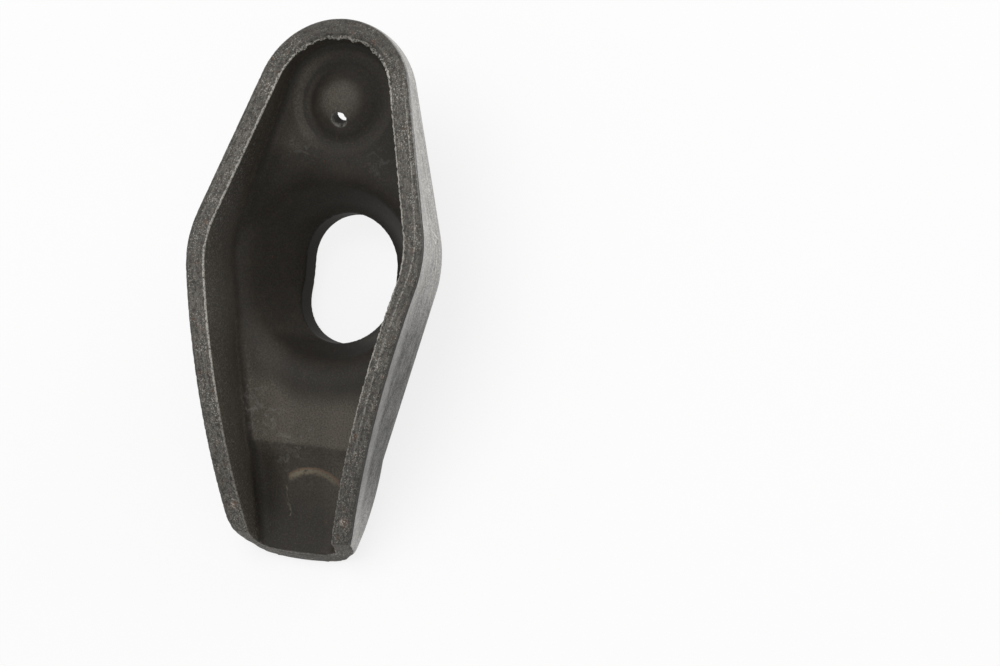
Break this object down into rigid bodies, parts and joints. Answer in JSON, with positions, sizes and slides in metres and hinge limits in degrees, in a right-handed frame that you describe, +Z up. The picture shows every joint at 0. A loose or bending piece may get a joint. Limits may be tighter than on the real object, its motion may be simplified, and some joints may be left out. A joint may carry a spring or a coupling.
{
  "type": "rocker arm",
  "caption": "Stamped sheet-steel rocker arm: a boat-shaped trough with a spherical ball seat and stud slot, a pushrod cup with an oil hole and a curved valve pad.",
  "frame": {"origin": "centre of the spherical ball seat, the point the arm rocks about", "axes": "+X level along the arm towards the valve end, +Y across it, +Z up as the arm lies at rest on its slot edges and pad"},
  "size_m": [0.0678, 0.0326, 0.0242],
  "materials": {
    "steel": "dark oiled phosphate on pressed steel, greyer on the sheared rim and on the outside of the walls"
  },
  "bodies": {
    "root": {"rocker_arm": "steel"}
  },
  "joints": []
}
